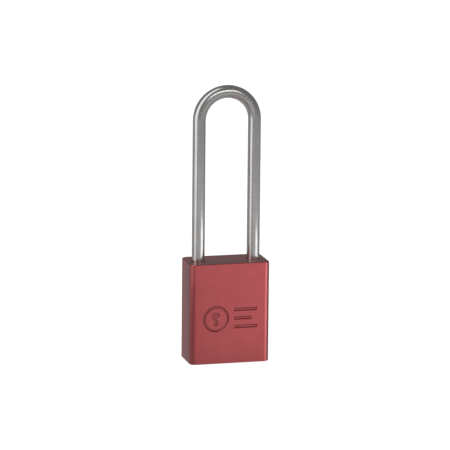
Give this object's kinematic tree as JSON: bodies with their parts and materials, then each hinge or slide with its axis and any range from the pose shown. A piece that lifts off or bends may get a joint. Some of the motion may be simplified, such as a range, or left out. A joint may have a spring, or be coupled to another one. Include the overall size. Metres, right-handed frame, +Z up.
{
  "type": "long-shackle keyed padlock",
  "caption": "Solid-body key-operated safety padlock with a tall steel shackle, ball locking and a pin-tumbler cylinder keyed from below.",
  "frame": {"origin": "centre of the lock body's bottom face, on the plug's axis", "axes": "+Z up along the shackle's legs, +X from the heel leg to the toe leg, the stamped front face looks along -Y"},
  "size_m": [0.0382, 0.019, 0.1298],
  "materials": {
    "anodised_body": "red anodised over a fine blasted surface, satin",
    "shackle_steel": "satin chrome plate on hardened steel",
    "spring_steel": "drawn spring wire",
    "ball_steel": "polished bearing steel",
    "actuator_steel": "machined steel, lightly oiled",
    "housing_brass": "machined brass",
    "plug_brass": "machined brass, faced on the keyway end",
    "clip_steel": "stamped spring steel",
    "cover_brass": "brass strip",
    "screw_steel": "blackened steel",
    "key_pin_brass": "turned brass",
    "driver_pin_steel": "turned stainless steel",
    "spring_bronze": "phosphor bronze wire"
  },
  "bodies": {
    "case": {"lock_body": "anodised_body", "cylinder_housing": "housing_brass", "pin_chamber_cover": "cover_brass", "cylinder_retaining_screw": "screw_steel", "shackle_spring": "spring_steel", "driver_spring_1": "spring_bronze", "driver_spring_2": "spring_bronze", "driver_spring_3": "spring_bronze", "driver_spring_4": "spring_bronze", "driver_spring_5": "spring_bronze"},
    "shackle": {"shackle": "shackle_steel"},
    "plug": {"cylinder_plug": "plug_brass", "plug_retaining_clip": "clip_steel"},
    "actuator": {"actuator": "actuator_steel"},
    "ball_heel": {"locking_ball_heel": "ball_steel"},
    "ball_toe": {"locking_ball_toe": "ball_steel"},
    "driver_pin_1": {"driver_pin_1": "driver_pin_steel"},
    "driver_pin_2": {"driver_pin_2": "driver_pin_steel"},
    "driver_pin_3": {"driver_pin_3": "driver_pin_steel"},
    "driver_pin_4": {"driver_pin_4": "driver_pin_steel"},
    "driver_pin_5": {"driver_pin_5": "driver_pin_steel"},
    "key_pin_1": {"key_pin_1": "key_pin_brass"},
    "key_pin_2": {"key_pin_2": "key_pin_brass"},
    "key_pin_3": {"key_pin_3": "key_pin_brass"},
    "key_pin_4": {"key_pin_4": "key_pin_brass"},
    "key_pin_5": {"key_pin_5": "key_pin_brass"}
  },
  "joints": [
    {"name": "plug_turn", "type": "hinge", "parent": "case", "child": "plug", "pos_m": [0, 0, 0.014], "axis": [0, 0, 1], "range_deg": [-90, 0]},
    {"name": "actuator_turn", "type": "hinge", "parent": "case", "child": "actuator", "pos_m": [0, 0, 0.036], "axis": [0, 0, 1], "range_deg": [-90, 0]},
    {"name": "ball_heel_slide", "type": "slide", "parent": "case", "child": "ball_heel", "axis": [-1, 0, 0], "range_m": [0, 0.0015]},
    {"name": "ball_toe_slide", "type": "slide", "parent": "case", "child": "ball_toe", "axis": [1, 0, 0], "range_m": [0, 0.0015]},
    {"name": "shackle_lift", "type": "slide", "parent": "case", "child": "shackle", "axis": [0, 0, 1], "range_m": [0, 0.014], "deforming": ["shackle_spring"]},
    {"name": "driver_pin_1_slide", "type": "slide", "parent": "case", "child": "driver_pin_1", "axis": [1, 0, 0], "range_m": [0, 0.0012], "stiffness_N_per_m": 200, "deforming": ["driver_spring_1"]},
    {"name": "driver_pin_2_slide", "type": "slide", "parent": "case", "child": "driver_pin_2", "axis": [1, 0, 0], "range_m": [0, 0.0012], "stiffness_N_per_m": 200, "deforming": ["driver_spring_2"]},
    {"name": "driver_pin_3_slide", "type": "slide", "parent": "case", "child": "driver_pin_3", "axis": [1, 0, 0], "range_m": [0, 0.0012], "stiffness_N_per_m": 200, "deforming": ["driver_spring_3"]},
    {"name": "driver_pin_4_slide", "type": "slide", "parent": "case", "child": "driver_pin_4", "axis": [1, 0, 0], "range_m": [0, 0.0012], "stiffness_N_per_m": 200, "deforming": ["driver_spring_4"]},
    {"name": "driver_pin_5_slide", "type": "slide", "parent": "case", "child": "driver_pin_5", "axis": [1, 0, 0], "range_m": [0, 0.0012], "stiffness_N_per_m": 200, "deforming": ["driver_spring_5"]},
    {"name": "key_pin_1_slide", "type": "slide", "parent": "plug", "child": "key_pin_1", "axis": [0, 1, 0], "range_m": [-0.0012, 0]},
    {"name": "key_pin_2_slide", "type": "slide", "parent": "plug", "child": "key_pin_2", "axis": [0, 1, 0], "range_m": [-0.0012, 0]},
    {"name": "key_pin_3_slide", "type": "slide", "parent": "plug", "child": "key_pin_3", "axis": [0, 1, 0], "range_m": [-0.0012, 0]},
    {"name": "key_pin_4_slide", "type": "slide", "parent": "plug", "child": "key_pin_4", "axis": [0, 1, 0], "range_m": [-0.0012, 0]},
    {"name": "key_pin_5_slide", "type": "slide", "parent": "plug", "child": "key_pin_5", "axis": [0, 1, 0], "range_m": [-0.0012, 0]}
  ],
  "couplings": [
    {"joint": "actuator_turn", "follows": "plug_turn", "ratio": 1},
    {"joint": "ball_heel_slide", "follows": "plug_turn", "m_per_rad": -0.00095492},
    {"joint": "ball_toe_slide", "follows": "plug_turn", "m_per_rad": -0.00095492}
  ]
}
